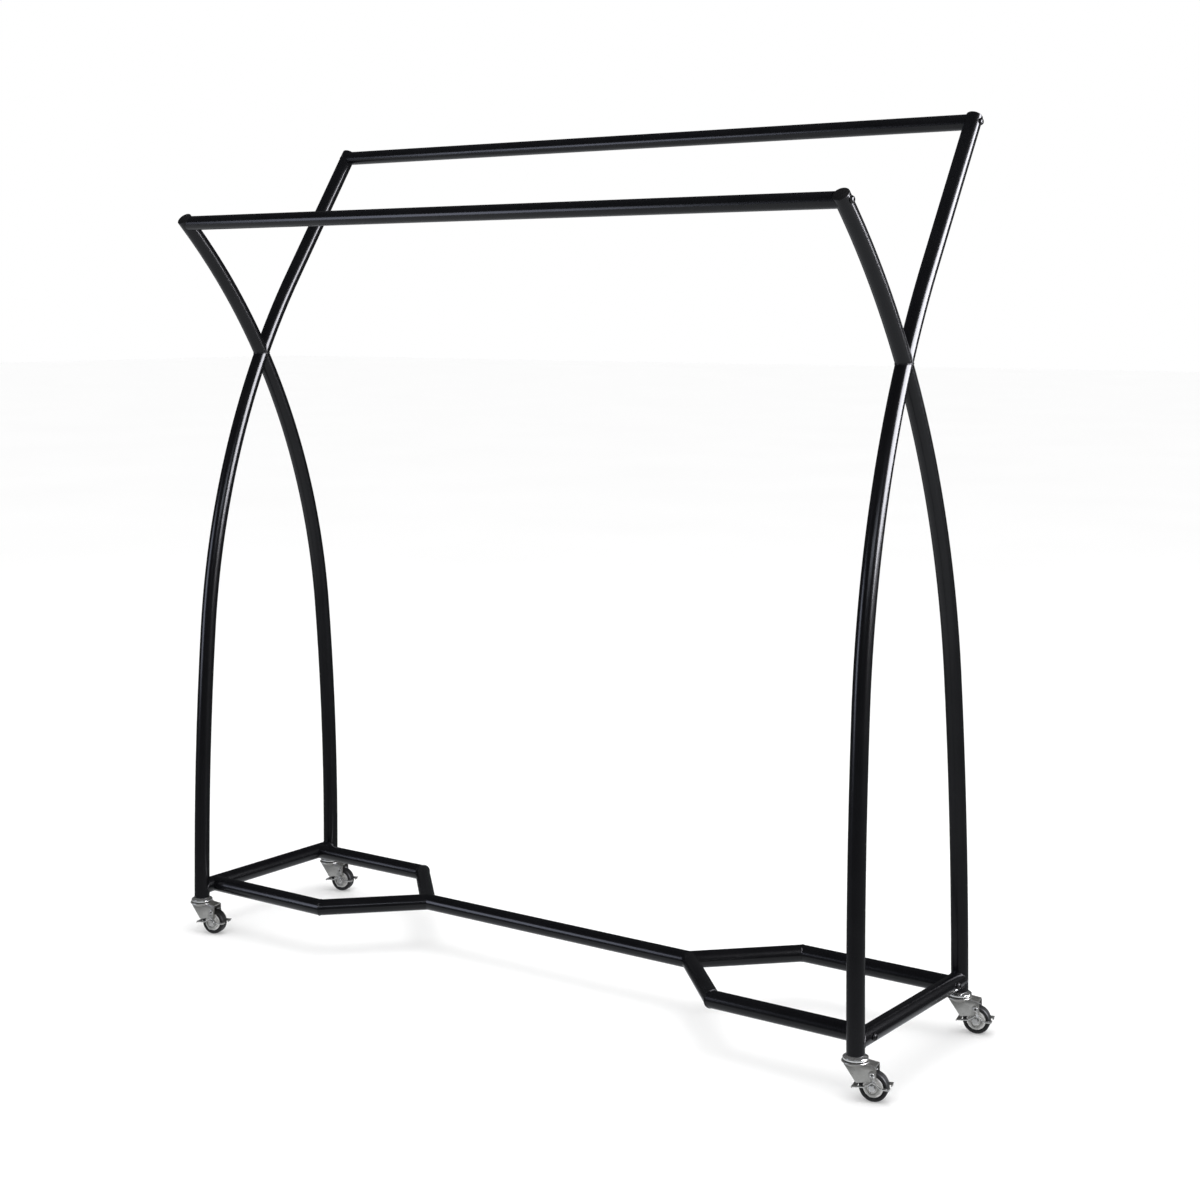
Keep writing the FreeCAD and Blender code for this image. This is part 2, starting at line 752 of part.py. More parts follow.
def race_balls(foot):
    """The ring of balls between race and crown."""
    height = (size("race_bottom") + size("crown_top")) / 2
    count = int(size("ball_count"))
    balls = []
    for index in range(count):
        ball = doc.addObject("Part::Sphere", "ball")
        ball.setExpression("Radius", "dim.ball_diameter / 2")
        spot = plan(360.0 * index / count) * (size("ball_circle") / 2)
        ball.Placement = Placement(foot + spot + Z_AXIS * height, Rotation())
        balls.append(ball)
    return balls


FORK_OUTSIDE = "dim.fork_inside + 2 * dim.fork_plate"
LEVER_INSIDE = "dim.fork_inside + 2 * dim.fork_plate + 2 * dim.lever_gap"
LEVER_OUTSIDE = "dim.fork_inside + 2 * dim.fork_plate + 2 * dim.lever_gap + 2 * dim.lever_plate"


AXLE = ("dim.trail", "dim.wheel_diameter / 2")
TAIL = "dim.trail + dim.fork_tail"
ROOF_SLOPE = "(dim.crown_top - dim.fork_tail_height) / (%s - dim.fork_roof_reach)" % TAIL


def around(centre, radius, first, last, count):
    """Corners on an arc about a centre, from one angle to another in equal steps."""
    corners = []
    for index in range(count + 1):
        turn = first + (last - first) * index / count
        corners.append(("%s + %s * cos(%.1f deg)" % (centre[0], radius, turn),
                        "%s + %s * sin(%.1f deg)" % (centre[1], radius, turn)))
    return corners


def fork_side(body):
    """The side view of the fork: a raked plate with a tongue down to the axle."""
    side = new_sketch(body, "XZ_Plane")
    tongue = around(AXLE, "dim.fork_tongue", 180, 360, 6)
    outline(side, [("dim.fork_nose_reach", "dim.crown_top"),
                   ("dim.fork_corner_reach", "dim.fork_corner_height"),
                   ("dim.fork_belly_reach", "dim.fork_belly_height"),
                   (tongue[0][0], "dim.fork_belly_height")] + tongue + [
                   (TAIL, "dim.fork_belly_height + dim.fork_tongue_drop"),
                   (TAIL, "dim.fork_tail_height"), ("dim.fork_roof_reach", "dim.crown_top")])
    pad(body, side, FORK_OUTSIDE, symmetric=True)


def fork_crown(body):
    """The dished crown, turned about the swivel axis."""
    crown = new_sketch(body, "XZ_Plane")
    rim = "dim.crown_diameter / 2"
    foot = "dim.crown_top - dim.crown_depth"
    outline(crown, [("0", foot), ("(%s) / 2" % FORK_OUTSIDE, foot),
                    (rim, "dim.crown_top - dim.crown_edge"),
                    (rim, "dim.crown_top - dim.crown_round"),
                    (rim + " - dim.crown_round", "dim.crown_top"), ("0", "dim.crown_top")])
    turn_about(body, crown)


def fork_slot(body):
    """The room for the wheel between the plates, under a roof that slopes to the tail."""
    slot = new_sketch(body, "XZ_Plane")
    roof = "dim.crown_top - dim.crown_thickness"
    ahead = "0 - dim.crown_diameter"
    behind = "dim.fork_roof_reach + dim.crown_diameter"
    fallen = "%s - dim.crown_diameter * %s" % (roof, ROOF_SLOPE)
    outline(slot, [(ahead, "0"), (behind, "0"), (behind, fallen),
                   ("dim.fork_roof_reach", roof), (ahead, roof)])
    pocket(body, slot, "dim.fork_inside", symmetric=True)


def fork(name, frame):
    """The raked fork: a dished crown over two side plates that narrow to the axle."""
    body = new_body(name)
    fork_side(body)
    fork_crown(body)
    fork_slot(body)
    pin = new_sketch(body, "XY_Plane")
    circle(pin, "dim.stem_diameter + 2 * dim.running_fit")
    pocket(body, pin)
    ball_groove(body)
    for diameter, height in (("dim.axle_diameter", AXLE[1]), ("dim.pivot_shank", "dim.pivot_height")):
        hole = new_sketch(body, "XZ_Plane")
        circle(hole, diameter + " + 2 * dim.plug_clearance", "dim.trail", height)
        pocket(body, hole)
    place_in_caster(body, frame)
    return keep(body, name)


def both_sides(corners):
    """A turned profile's upper corners, followed by the same corners below its middle."""
    return corners + [(across, "0 - (%s)" % up) for across, up in reversed(corners)]


def wheel_core(name, frame):
    """The moulded wheel centre: hub, recessed web and rim."""
    body = new_body(name)
    profile = new_sketch(body, "XZ_Plane")
    hub = "dim.hub_diameter / 2"
    rim = "dim.core_diameter / 2"
    web = "dim.web_thickness / 2"
    outline(profile, both_sides([
        ("dim.bush_diameter / 2 + dim.running_fit", "dim.hub_length / 2"),
        (hub, "dim.hub_length / 2"), (hub + " + dim.draft", web),
        (rim + " - dim.rim_wall - dim.draft", web), (rim + " - dim.rim_wall", "dim.rim_width / 2"),
        (rim, "dim.rim_width / 2")]))
    turn_about(body, profile)
    place_in_caster(body, frame, size("trail"), size("wheel_diameter") / 2, ACROSS)
    return keep(body, name)


def tyre(name, frame):
    """The rubber tyre: a tread band with rounded shoulders on the core's rim."""
    body = new_body(name)
    profile = new_sketch(body, "XZ_Plane")
    half = "dim.tyre_width / 2"
    crown = ("dim.wheel_diameter / 2 - dim.shoulder", "dim.tread_width / 2")
    drop = "(dim.tyre_width - dim.tread_width) / 2"
    shoulder = [("%s + dim.shoulder * cos(%d deg)" % (crown[0], turn),
                 "%s + %s * sin(%d deg)" % (crown[1], drop, turn)) for turn in (90, 60, 30, 0)]
    outline(profile, both_sides([("dim.core_diameter / 2", half + " - 2 * dim.draft"),
                                 ("dim.core_diameter / 2 + 2 * dim.draft", half)] + shoulder))
    turn_about(body, profile)
    place_in_caster(body, frame, size("trail"), size("wheel_diameter") / 2, ACROSS)
    return keep(body, name)


def axle_set(name, frame):
    """The axle screw, its nut and the bush that keeps the fork plates apart."""
    half_fork = "(%s) / 2" % FORK_OUTSIDE
    screw = new_body(name + "_axle_bolt")
    head = new_sketch(screw, "XY_Plane", half_fork)
    hexagon(head, "dim.axle_head_size")
    pad(screw, head, "dim.axle_head_height")
    shank = new_sketch(screw, "XY_Plane", half_fork)
    circle(shank, "dim.axle_diameter")
    pad(screw, shank, FORK_OUTSIDE + " + dim.axle_nut_height + dim.axle_tip", reverse=True)

    nut = new_body(name + "_axle_nut")
    flats = new_sketch(nut, "XY_Plane", "0 - " + half_fork)
    hexagon(flats, "dim.axle_head_size")
    circle(flats, "dim.axle_diameter + 2 * dim.plug_clearance")
    pad(nut, flats, "dim.axle_nut_height", reverse=True)

    bush = new_body(name + "_axle_bush")
    ring = new_sketch(bush, "XY_Plane")
    circle(ring, "dim.bush_diameter")
    circle(ring, "dim.axle_diameter + 2 * dim.plug_clearance")
    pad(bush, ring, "dim.bush_length", symmetric=True)
    for piece in (screw, nut, bush):
        place_in_caster(piece, frame, size("trail"), size("wheel_diameter") / 2, ACROSS)
        keep(piece, piece.Name)


# The upper edge of the lever's arms, as reach and height: from the toe up to the shoulder before the
# apex, and from behind the apex down to the heel before the shoe.
LEVER_ARM = [("dim.lever_toe_root", "dim.lever_toe_top"), ("dim.lever_rise", "dim.lever_rise_height"),
             ("dim.lever_shoulder", "dim.lever_shoulder_height")]
LEVER_HEEL = [("dim.lever_fall", "dim.lever_fall_height"), ("dim.lever_heel", "dim.lever_heel_height")]
SHOE_FACE = "dim.trail + dim.wheel_diameter / 2 + dim.shoe_gap"
SHOE_BACK = SHOE_FACE + " + dim.shoe_plate"


def lever_side(body):
    """The side view of the lever: arms, an ear up to the pivot and a plate round the axle."""
    plate = new_sketch(body, "XZ_Plane")
    ear = around(("dim.trail", "dim.pivot_height"), "dim.lever_ear", 180, 0, 6)
    drop = "dim.lever_toe_height - dim.lever_band"
    foot = "dim.wheel_diameter / 2 - dim.lever_boss"
    shoe_under = "dim.shoe_height - dim.lever_band"
    outline(plate, [("dim.lever_toe", drop), ("dim.lever_toe", "dim.lever_toe_height")]
            + LEVER_ARM + [(ear[0][0], "dim.lever_apex_height")] + ear
            + [(ear[-1][0], "dim.lever_apex_height - dim.lever_ear_drop")] + LEVER_HEEL
            + [(SHOE_BACK, "dim.shoe_height"), (SHOE_BACK, shoe_under),
               ("dim.trail + dim.lever_boss", shoe_under),
               ("dim.trail + dim.lever_boss_flat", foot),
               ("dim.trail - dim.lever_boss_flat", foot),
               ("dim.trail - dim.lever_boss", "dim.lever_toe_top - dim.lever_band")])
    pad(body, plate, LEVER_OUTSIDE, symmetric=True)


def lever_lip(body):
    """The outward lip along the top of both arms."""
    lip = new_sketch(body, "XZ_Plane")
    apex = [("dim.trail", "dim.lever_apex_height")]
    ridge = LEVER_ARM + apex + LEVER_HEEL + [(SHOE_BACK, "dim.shoe_height")]
    under = [(reach, up + " - dim.lever_lip_plate") for reach, up in reversed(ridge)]
    outline(lip, ridge + under)
    pad(body, lip, LEVER_OUTSIDE + " + 2 * dim.lever_lip", symmetric=True)


def lever_rooms(body):
    """The room between the plates, and the open middle between the shoes."""
    toe_back = "dim.lever_toe + dim.lever_toe_depth"
    high = "dim.crown_top"
    room = new_sketch(body, "XZ_Plane")
    outline(room, [(toe_back, "0"), (SHOE_FACE, "0"), (SHOE_FACE, high), (toe_back, high)])
    pocket(body, room, LEVER_INSIDE, symmetric=True)
    beyond = SHOE_BACK + " + dim.shoe_plate"
    middle = new_sketch(body, "XZ_Plane")
    outline(middle, [("dim.trail", "0"), (beyond, "0"), (beyond, high), ("dim.trail", high)])
    pocket(body, middle, "dim.shoe_window", symmetric=True)


def brake_lever(name, frame):
    """The rocking brake: two arms with a toe tab in front and turned-in shoes behind."""
    body = new_body(name)
    lever_side(body)
    lever_lip(body)
    lever_rooms(body)
    window = new_sketch(body, "XZ_Plane")
    circle(window, "dim.lever_window", *AXLE)
    pocket(body, window)
    eyelet = new_sketch(body, "XZ_Plane")
    circle(eyelet, "dim.pivot_shank + 2 * dim.running_fit", "dim.trail", "dim.pivot_height")
    pocket(body, eyelet)
    place_in_caster(body, frame)
    return keep(body, name)


def pivot_eyelet(name, frame, y_sign):
    """A hollow rivet through one fork plate and the lever's ear; a head at each end."""
    body = new_body(name)
    inner_face = "dim.fork_inside / 2"
    outer_face = "(%s) / 2 + dim.pivot_play" % LEVER_OUTSIDE
    stack = [(inner_face + " - dim.pivot_head_height", "dim.pivot_head_height",
              "dim.pivot_head - 1"),
             (inner_face, "%s - %s" % (outer_face, inner_face), "dim.pivot_shank"),
             (outer_face, "dim.pivot_head_height", "dim.pivot_head")]
    for start, length, diameter in stack:
        ring = new_sketch(body, "XY_Plane", start)
        circle(ring, diameter)
        circle(ring, "dim.pivot_bore")
        pad(body, ring, length)
    turn = Rotation(X_AXIS, 90 * y_sign)
    place_in_caster(body, frame, size("trail"), size("pivot_height"), turn)
    return body


def casters():
    """Four casters, and the fixed pieces that hold each one in its leg."""
    fixed = {"caster_inserts": [], "caster_races": [], "caster_stems": [], "race_balls": []}
    for end, x_sign in (("left", -1), ("right", 1)):
        for row, y in (("front", -size("front_foot")), ("rear", size("rear_foot"))):
            foot = Vector(x_sign * size("frame_spacing") / 2, y, 0)
            frame = caster_place(foot)
            name = "%s_%s" % (row, end)
            fixed["caster_inserts"].append(leg_insert(foot))
            fixed["caster_races"].append(race_ring(foot))
            fixed["caster_stems"].append(stem(foot))
            fixed["race_balls"].extend(race_balls(foot))
            fork(name + "_fork", frame)
            wheel_core(name + "_wheel_core", frame)
            tyre(name + "_tyre", frame)
            axle_set(name, frame)
            brake_lever(name + "_brake_lever", frame)
            group([pivot_eyelet(name + "_eyelet", frame, y_sign) for y_sign in (-1, 1)],
                  name + "_brake_eyelets")
    for label, items in fixed.items():
        group(items, label)


# ---------------------------------------------------------------- finishing

def centre_on_footprint():
    """Move every sub-part so that the origin is the centre of the footprint on the floor."""
    box = Part.makeCompound([item.Shape for item in sub_parts]).optimalBoundingBox(False)
    shift = Vector(-(box.XMin + box.XMax) / 2, -(box.YMin + box.YMax) / 2, -box.ZMin)
    for item in sub_parts:
        item.Placement = Placement(shift, Rotation()).multiply(item.Placement)
    print("moved by %.3f %.3f %.3f" % (shift.x, shift.y, shift.z))


def check_and_export():
    """Stop on any failed object or bad shape, then write one file for each sub-part."""
    for item in doc.Objects:
        if any(state in ("Invalid", "Error") for state in item.State):
            raise RuntimeError("failed object: " + item.Label)
    for item in sub_parts:
        if item.Shape.isNull() or not item.Shape.isValid() or not item.Shape.Solids:
            raise RuntimeError("bad shape: " + item.Label)
    os.makedirs("parts", exist_ok=True)
    for item in sub_parts:
        item.Shape.exportStep("parts/%s.step" % item.Label)
    print("%d sub-parts written" % len(sub_parts))


fill_sheet()
for frame_side, frame_x in (("left", -size("frame_spacing") / 2),
                            ("right", size("frame_spacing") / 2)):
    side_frame(frame_side, frame_x)
rails()
base_frame()
fasteners()
leg_caps()
casters()
doc.recompute()
centre_on_footprint()
doc.recompute()
check_and_export()
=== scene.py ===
import math

import bmesh
import bpy
from mathutils import Matrix, Vector


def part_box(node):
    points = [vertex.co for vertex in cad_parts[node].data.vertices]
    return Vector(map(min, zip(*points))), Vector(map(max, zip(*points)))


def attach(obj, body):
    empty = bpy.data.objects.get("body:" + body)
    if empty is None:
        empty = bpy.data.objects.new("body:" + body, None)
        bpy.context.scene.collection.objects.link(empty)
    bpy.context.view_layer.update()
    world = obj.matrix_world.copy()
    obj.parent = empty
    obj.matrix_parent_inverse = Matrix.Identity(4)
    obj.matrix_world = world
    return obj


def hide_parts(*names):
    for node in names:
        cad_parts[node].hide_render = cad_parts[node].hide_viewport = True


# Rolling clothes rack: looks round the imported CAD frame.  Metres, +Z up, -Y is the lower rail's side.

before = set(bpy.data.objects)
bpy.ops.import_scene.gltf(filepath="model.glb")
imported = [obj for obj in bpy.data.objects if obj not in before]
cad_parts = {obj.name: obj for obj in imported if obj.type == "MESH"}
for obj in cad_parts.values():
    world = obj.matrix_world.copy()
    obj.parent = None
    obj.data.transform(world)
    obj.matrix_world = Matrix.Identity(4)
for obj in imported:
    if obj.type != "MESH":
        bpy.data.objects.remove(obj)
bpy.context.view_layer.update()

MM = 0.001


# ---------------------------------------------------------------- materials

def shader(name):
    """A new node material: its tree and its Principled shader."""
    made = bpy.data.materials.new(name)
    made.use_nodes = True
    return made, made.node_tree, made.node_tree.nodes["Principled BSDF"]


def add(tree, kind, **values):
    """A node with some of its properties or input sockets set."""
    node = tree.nodes.new(kind)
    for key, value in values.items():
        if hasattr(node, key):
            setattr(node, key, value)
        else:
            node.inputs[key.replace("_", " ")].default_value = value
    return node


def noise(tree, scale, detail):
    """Noise laid out in the object's own space, in features per metre."""
    place = add(tree, "ShaderNodeTexCoord")
    node = add(tree, "ShaderNodeTexNoise", Scale=scale, Detail=detail)
    tree.links.new(place.outputs["Object"], node.inputs["Vector"])
    return node.outputs["Fac"]


def ramp(tree, factor, low, high, colour_a, colour_b):
    """Blend from colour_a to colour_b while the factor goes from low to high."""
    node = add(tree, "ShaderNodeValToRGB")
    stops = node.color_ramp.elements
    stops[0].position, stops[0].color = low, (*colour_a, 1)
    stops[1].position, stops[1].color = high, (*colour_b, 1)
    tree.links.new(factor, node.inputs["Fac"])
    return node.outputs["Color"]


def spread(tree, factor, low, high):
    """Map a 0 to 1 factor to the range low to high."""
    node = add(tree, "ShaderNodeMapRange", To_Min=low, To_Max=high)
    tree.links.new(factor, node.inputs["Value"])
    return node.outputs["Result"]


def bump(tree, surface, height, strength, distance):
    node = add(tree, "ShaderNodeBump", Strength=strength, Distance=distance)
    tree.links.new(height, node.inputs["Height"])
    tree.links.new(node.outputs["Normal"], surface.inputs["Normal"])


def surface_material(name, dark, light, rough, metallic=0.0, grain=900.0, relief=0.0,
                     blotch=14.0, level=0.5):
    """Colour that drifts between two tones, roughness that drifts with a finer grain, and relief."""
    made, tree, surface = shader(name)
    surface.inputs["Metallic"].default_value = metallic
    surface.inputs["Specular IOR Level"].default_value = level
    tone = ramp(tree, noise(tree, blotch, 3.0), 0.3, 0.7, dark, light)
    tree.links.new(tone, surface.inputs["Base Color"])
    fine = noise(tree, grain, 2.0)
    tree.links.new(spread(tree, fine, *rough), surface.inputs["Roughness"])
    if relief:
        bump(tree, surface, fine, 0.35, relief)
    return made


POWDER = surface_material(
    "satin black powder coat", (0.0026, 0.0027, 0.0036), (0.0042, 0.0043, 0.0054),
    (0.17, 0.25), grain=1100.0, relief=0.00004, level=0.3)
SCREW = surface_material(
    "black oxide screw", (0.006, 0.006, 0.006), (0.014, 0.014, 0.014), (0.2, 0.34),
    metallic=0.3, grain=1500.0, relief=0.00002)
PLASTIC = surface_material(
    "black moulded plastic", (0.004, 0.004, 0.0045), (0.007, 0.007, 0.008), (0.3, 0.42),
    grain=2500.0, relief=0.00004, level=0.3)
ZINC = surface_material(
    "bright zinc plate", (0.38, 0.375, 0.355), (0.46, 0.455, 0.435), (0.24, 0.34),
    metallic=0.85, grain=420.0, relief=0.00002, blotch=90.0)
# Glossier zinc for the swivel races and the brake lever's lips. Its colour is painted much lighter than the
# zinc plate, as a painted highlight for the bright reflections these parts catch.
PAINTED_HIGHLIGHT_ZINC = surface_material(
    "glossier zinc plate with painted highlight", (0.7, 0.7, 0.69), (0.82, 0.82, 0.81), (0.1, 0.18),
    metallic=0.9, grain=700.0, relief=0.00001, blotch=90.0)
STEEL = surface_material(
    "plain steel", (0.5, 0.5, 0.5), (0.62, 0.62, 0.61), (0.14, 0.26), metallic=0.7,
    grain=900.0, blotch=120.0)
WHITE = surface_material(
    "pale moulded plastic", (0.66, 0.66, 0.65), (0.76, 0.76, 0.75), (0.25, 0.36),
    grain=1800.0, relief=0.00002, blotch=60.0)
RUBBER = surface_material(
    "black rubber", (0.006, 0.006, 0.006), (0.012, 0.012, 0.012), (0.42, 0.6),
    grain=1600.0, relief=0.00006, blotch=50.0, level=0.3)

NODE_LOOKS = (
    ("plug", PLASTIC), ("caps", PLASTIC), ("bolts", SCREW), ("inserts", PLASTIC),
    ("races", PAINTED_HIGHLIGHT_ZINC), ("stems", STEEL), ("balls", STEEL), ("fork", ZINC), ("axle", STEEL),
    ("eyelets", STEEL), ("lever", PAINTED_HIGHLIGHT_ZINC), ("core", WHITE), ("tyre", RUBBER),
)


def looks_of(node):
    return next((look for word, look in NODE_LOOKS if word in node), POWDER)


for node_name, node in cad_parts.items():
    node.data.materials.clear()
    node.data.materials.append(looks_of(node_name))


# ---------------------------------------------------------------- where things are, in millimetres

def middle(node, axis):
    low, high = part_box(node)
    return (low[axis] + high[axis]) / 2 / MM


CENTRE_Y = middle("base_center_bar", 1)
FRAME_X = {"left": middle("left_main_leg", 0), "right": middle("right_main_leg", 0)}
FOOT_Y = {"front": CENTRE_Y - 198.0, "rear": CENTRE_Y + 199.5}
LEG_BOTTOM = 75.0
LEG_RADIUS = 15.9
TRAIL_TURN = math.radians(14)
TRAIL = 32.0
AXLE_HEIGHT = 25.0
PIVOT_HEIGHT = 47.0
RAIL_HEIGHT = {"front": 1512.0, "rear": 1679.0}
TIP_OVERHANG = 12.0
MAIN_BEND = ((None, 86.0), (6630.0, 4.2), (1597.0, 28.95))
SECOND_BEND = ((None, 36.0), (5240.0, 6.0), (1405.0, None))
LEG_SIDE = {"main": 1, "second": -1}
LEG_STRIDE = 0.6          # degrees of bend between two rings of a leg
BASE_HEIGHT = 94.7
ORIGIN_X = (FRAME_X["left"] + FRAME_X["right"]) / 2
APEX_X, BEND_X, SIDE_Y = 324.4, 479.3, 160.8          # a base diagonal's ends, from the middle
DIAGONAL_SLOPE = math.atan2(SIDE_Y, BEND_X - APEX_X)
TINY = 1e-9


# ---------------------------------------------------------------- mesh helpers, in millimetres

def rounded(corners, radius, steps=4):
    """A closed outline with its corners rounded; radius is one number or one for each corner."""
    radii = radius if isinstance(radius, (list, tuple)) else [radius] * len(corners)
    spots = [Vector(corner) for corner in corners]
    made = []
    for index, (spot, wish) in enumerate(zip(spots, radii)):
        before = spots[index - 1] - spot
        after = spots[(index + 1) % len(spots)] - spot
        half = before.angle(after, math.pi) / 2
        if wish <= 0 or half > math.radians(88):
            made.append(spot)
            continue
        reach = min(wish / math.tan(half), before.length * 0.48, after.length * 0.48)
        bow = reach * math.tan(half)
        inward = (before.normalized() + after.normalized()).normalized()
        centre = spot + inward * (bow / math.sin(half))
        first = spot + before.normalized() * reach - centre
        last = spot + after.normalized() * reach - centre
        for step in range(steps + 1):
            blend = first.slerp(last, step / steps)
            made.append(centre + blend.normalized() * bow)
    return [tuple(spot) for spot in made]


def lathe(profile, steps=72):
    """Turn a closed (radius, height) outline about Z."""
    shape = bmesh.new()
    rings = []
    for index in range(steps):
        turn = 2 * math.pi * index / steps
        rings.append([shape.verts.new((r * math.cos(turn), r * math.sin(turn), z)) for r, z in profile])
    count = len(profile)
    for index in range(steps):
        here, there = rings[index], rings[(index + 1) % steps]
        for k in range(count):
            shape.faces.new((here[k], there[k], there[(k + 1) % count], here[(k + 1) % count]))
    bmesh.ops.remove_doubles(shape, verts=shape.verts, dist=1e-5)
    bmesh.ops.dissolve_degenerate(shape, edges=shape.edges, dist=1e-6)
    bmesh.ops.recalc_face_normals(shape, faces=shape.faces)
    return shape


def prism(outline, low, high):
    """Stretch a closed (x, z) outline along Y, from low to high."""
    shape = bmesh.new()
    near = [shape.verts.new((x, low, z)) for x, z in outline]
    far = [shape.verts.new((x, high, z)) for x, z in outline]
    shape.faces.new(near)
    shape.faces.new(list(reversed(far)))
    count = len(outline)
    for k in range(count):
        shape.faces.new((near[k], far[k], far[(k + 1) % count], near[(k + 1) % count]))
    bmesh.ops.recalc_face_normals(shape, faces=shape.faces)
    return shape


def soften(shape, width, segments=2, sharp=32):
    """Bevel every edge that turns more sharply than an angle."""
    edges = [e for e in shape.edges if len(e.link_faces) == 2 and e.calc_face_angle(0) > math.radians(sharp)]
    bmesh.ops.bevel(shape, geom=edges, offset=width, segments=segments, profile=0.6, affect="EDGES",
                    clamp_overlap=True)
    return shape


def sweep(path, section):
    """Carry a closed (side, out) section along a path; each path step is (spot, side, out)."""
    shape = bmesh.new()
    rings = [[shape.verts.new(spot + side * a + out * b) for a, b in section] for spot, side, out in path]
    count = len(section)
    for here, there in zip(rings, rings[1:]):
        for k in range(count):
            shape.faces.new((here[k], there[k], there[(k + 1) % count], here[(k + 1) % count]))
    shape.faces.new(rings[0])
    shape.faces.new(list(reversed(rings[-1])))
    bmesh.ops.recalc_face_normals(shape, faces=shape.faces)
    return shape


def moved(shape, matrix):
    bmesh.ops.transform(shape, matrix=matrix, verts=shape.verts)
    return shape


def joined(shapes):
    """Several shapes as one."""
    whole = bmesh.new()
    for shape in shapes:
        mesh = bpy.data.meshes.new("part")
        shape.to_mesh(mesh)
        shape.free()
        whole.from_mesh(mesh)
        bpy.data.meshes.remove(mesh)
    return whole


def piece(name, shape, look, body, nodes=(), smooth=34):
    """Turn a shape in millimetres into a shown object that rides on a body."""
    moved(shape, Matrix.Scale(MM, 4))
    mesh = bpy.data.meshes.new(name)
    shape.to_mesh(mesh)
    shape.free()
    mesh.materials.append(look)
    made = bpy.data.objects.new(name, mesh)
    bpy.context.scene.collection.objects.link(made)
    mesh.shade_smooth()
    mesh.set_sharp_from_angle(angle=math.radians(smooth))
    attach(made, body)
    if nodes:
        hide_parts(*nodes)


def held(label, shape):
    """A shape as a scene object, for a modifier to work on."""
    mesh = bpy.data.meshes.new(label)
    shape.to_mesh(mesh)
    shape.free()
    made = bpy.data.objects.new(label, mesh)
    bpy.context.scene.collection.objects.link(made)
    return made


def worked(thing, *helpers):
    """An object's shape after its modifiers; the object and its helpers are thrown away."""
    result = bmesh.new()
    result.from_mesh(thing.evaluated_get(bpy.context.evaluated_depsgraph_get()).to_mesh())
    for item in (thing, *helpers):
        mesh = item.data
        bpy.data.objects.remove(item)
        bpy.data.meshes.remove(mesh)
    return result


def combined(shape, other, operation):
    """An exact boolean of two shapes."""
    work, tool = held("work", shape), held("tool", other)
    change = work.modifiers.new("boolean", "BOOLEAN")
    change.operation, change.solver, change.object = operation, "EXACT", tool
    return worked(work, tool)


def drilled(shape, cutters):
    """A shape minus some cutters."""
    return combined(shape, joined(cutters), "DIFFERENCE")


def around(centre, radius, turns):
    """Points on a circle, at some turns in degrees."""
    return [(centre[0] + radius * math.cos(math.radians(turn)),
             centre[1] + radius * math.sin(math.radians(turn))) for turn in turns]


def circle_of(radius, steps):
    return [(radius * math.cos(2 * math.pi * k / steps),
             radius * math.sin(2 * math.pi * k / steps)) for k in range(steps)]


# ---------------------------------------------------------------- legs

def leg_path(bend, side, foot_y, ceiling):
    """Steps up a leg's axis, in the plane of its frame: (y, z, heading from vertical).

    A bend is a list of (radius, degrees); no radius means straight up for a length, and no angle
    means on until the ceiling.
    """
    y, z, heading = foot_y, LEG_BOTTOM, 0.0
    steps = [(y, z, heading)]
    for radius, amount in bend:
        if radius is None:
            z += amount
            steps.append((y, z, heading))
            continue
        turned, stride = 0.0, math.radians(LEG_STRIDE)
        limit = math.radians(amount) if amount else math.pi
        while turned < limit - TINY and (amount or z < ceiling):
            stride = min(stride, limit - turned)
            middle_heading = heading + stride / 2
            chord = 2 * radius * math.sin(stride / 2)
            y += side * chord * math.sin(middle_heading)
            z += chord * math.cos(middle_heading)
            heading += stride
            turned += stride
            steps.append((y, z, heading))
    return steps


def trimmed(steps, side, top, overhang):
    """End the steps a set length beyond the height of the rail's axis."""
    y, z, heading = next((s for s in reversed(steps) if s[1] <= top), steps[-1])
    kept = [s for s in steps if s[1] <= top]
    length = (top - z) / math.cos(heading) + overhang
    kept.append((y + side * length * math.sin(heading), z + length * math.cos(heading), heading))
    return kept


def leg_steps(bend, side, foot, rail):
    """The whole axis of a leg, from a foot to its tip above a rail."""
    top = RAIL_HEIGHT[rail]
    return trimmed(leg_path(bend, side, FOOT_Y[foot], top + TIP_OVERHANG), side, top, TIP_OVERHANG)


def leg_tube(name, x, facets=64):
    """A whole leg as one tube, on one side frame."""
    path = []
    for y, z, heading in LEG_STEPS[name]:
        across = Vector((0, math.cos(heading), -LEG_SIDE[name] * math.sin(heading)))
        path.append((Vector((x, y, z)), Vector((1, 0, 0)), across))
    return sweep(path, circle_of(LEG_RADIUS, facets))


LEG_STEPS = {"main": leg_steps(MAIN_BEND, LEG_SIDE["main"], "front", "rear"),
             "second": leg_steps(SECOND_BEND, LEG_SIDE["second"], "rear", "front")}
for end, x in FRAME_X.items():
    piece(end + "_main_leg_tube", leg_tube("main", x), POWDER, "frame",
          [end + "_main_leg"], 50)
    piece(end + "_second_leg_tube", leg_tube("second", x), POWDER, "frame",
          [end + "_rear_lower_leg", end + "_front_upper_leg"], 50)


# ---------------------------------------------------------------- welds

BEAD_SIDES = 8
BEAD_RIPPLE = 0.13
CROSSING_RANGE = (900.0, 1450.0)
CROSSING_RUN, FOOT_RUN = 120, 90          # how far off a saddle's tube starts


